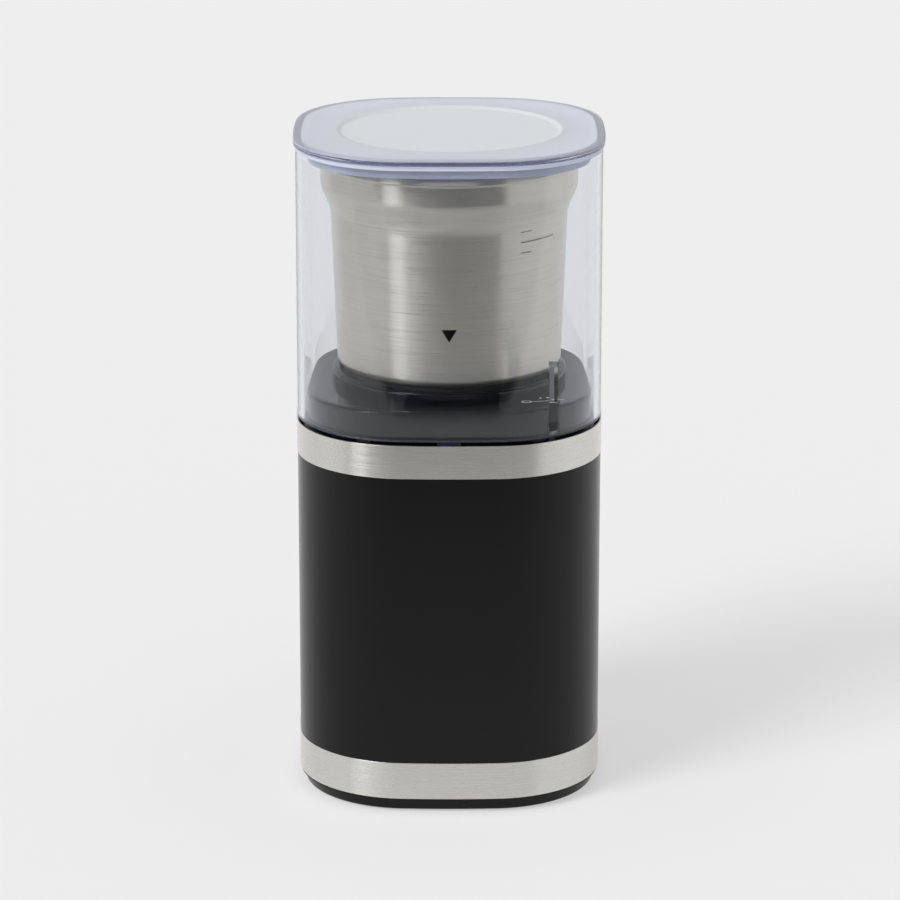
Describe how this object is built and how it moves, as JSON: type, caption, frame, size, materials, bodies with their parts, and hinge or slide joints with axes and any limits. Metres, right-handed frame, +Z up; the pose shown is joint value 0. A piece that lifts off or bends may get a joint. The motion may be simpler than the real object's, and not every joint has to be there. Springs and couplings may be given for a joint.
{
  "type": "electric spice grinder",
  "caption": "Rounded-square electric spice grinder: black motor base with steel bands, lift-out steel bowl with a two-winged blade, clear hood that is pressed down to run it.",
  "frame": {"origin": "centre of the standing surface under the four feet", "axes": "+Z up along the motor shaft; the front of the grinder faces -Y; +X to the right when facing its front"},
  "size_m": [0.106, 0.106, 0.2284],
  "materials": {
    "body_black": "matte black, fine moulded grain",
    "deck_black": "polished black",
    "gland_black": "satin black",
    "band_steel": "brushed along the band",
    "cup_steel": "brushed round the bowl",
    "hub_steel": "satin",
    "hood_clear": "clear, faint blue-violet edges",
    "seal_clear": "translucent silicone",
    "foot_rubber": "matt",
    "screw_steel": "zinc plated",
    "spring_steel": "drawn wire and ground bar",
    "bearing_steel": "ground",
    "core_steel": "stacked laminations",
    "coil_copper": "enamelled copper wire",
    "terminal_brass": "plain",
    "bracket_alloy": "die cast",
    "carbon_black": "pressed carbon",
    "switch_black": "moulded",
    "button_plastic": "moulded",
    "plunger_plastic": "acetal",
    "coupling_plastic": "acetal",
    "fan_plastic": "moulded"
  },
  "bodies": {
    "housing": {"base_cover": "body_black", "feet": "foot_rubber", "base_screws": "screw_steel", "lower_band": "band_steel", "upper_band": "band_steel", "body_shell": "body_black", "cord_gland": "gland_black", "top_deck": "deck_black", "deck_screws": "screw_steel", "plunger_spring": "spring_steel", "microswitch_body": "switch_black", "switch_terminals": "terminal_brass", "switch_screws": "screw_steel", "stator_core": "core_steel", "field_coils": "coil_copper", "lower_bracket": "bracket_alloy", "upper_bracket": "bracket_alloy", "motor_screws": "screw_steel", "motor_dampers": "foot_rubber", "mount_screws": "screw_steel", "lower_bearing": "bearing_steel", "upper_bearing": "bearing_steel", "brush_holders": "terminal_brass", "carbon_brushes": "carbon_black", "brush_springs": "spring_steel"},
    "plunger": {"interlock_plunger": "plunger_plastic"},
    "switch_button": {"microswitch_button": "button_plastic"},
    "rotor": {"motor_shaft": "spring_steel", "armature_core": "core_steel", "armature_winding": "coil_copper", "commutator": "terminal_brass", "cooling_fan": "fan_plastic", "drive_coupling": "coupling_plastic"},
    "bowl": {"bowl_cup": "cup_steel", "bowl_base": "gland_black", "bowl_hub": "hub_steel", "hub_nut": "hub_steel", "bowl_bush": "terminal_brass", "shaft_seal": "foot_rubber"},
    "blade_set": {"blade_shaft": "hub_steel", "blade": "hub_steel", "blade_nut": "hub_steel", "driven_coupling": "coupling_plastic"},
    "seal": {"lid_seal": "seal_clear"},
    "lid": {"lid_plate": "hood_clear", "hood_shell": "hood_clear"}
  },
  "joints": [
    {"name": "bowl_lift", "type": "slide", "parent": "housing", "child": "bowl", "axis": [0, 0, 1], "range_m": [0, 0.07]},
    {"name": "lid_lift", "type": "slide", "parent": "bowl", "child": "seal", "axis": [0, 0, 1], "range_m": [0, 0.12]},
    {"name": "lid_press", "type": "slide", "parent": "seal", "child": "lid", "axis": [0, 0, 1], "range_m": [-0.001, 0], "stiffness_N_per_m": 2500, "springref_m": 0.002, "deforming": ["lid_seal"]},
    {"name": "plunger_press", "type": "slide", "parent": "housing", "child": "plunger", "axis": [0, 0, 1], "range_m": [-0.001, 0], "deforming": ["plunger_spring"]},
    {"name": "switch_press", "type": "slide", "parent": "housing", "child": "switch_button", "axis": [0, 0, 1], "range_m": [-0.001, 0]},
    {"name": "rotor_spin", "type": "hinge", "parent": "housing", "child": "rotor", "pos_m": [0, 0, 0.08], "axis": [0, 0, 1], "continuous": true},
    {"name": "blade_spin", "type": "hinge", "parent": "bowl", "child": "blade_set", "pos_m": [0, 0, 0.15], "axis": [0, 0, 1], "continuous": true}
  ],
  "couplings": [
    {"joint": "plunger_press", "follows": "lid_press", "ratio": 1},
    {"joint": "switch_press", "follows": "lid_press", "ratio": 1},
    {"joint": "blade_spin", "follows": "rotor_spin", "ratio": 1}
  ]
}
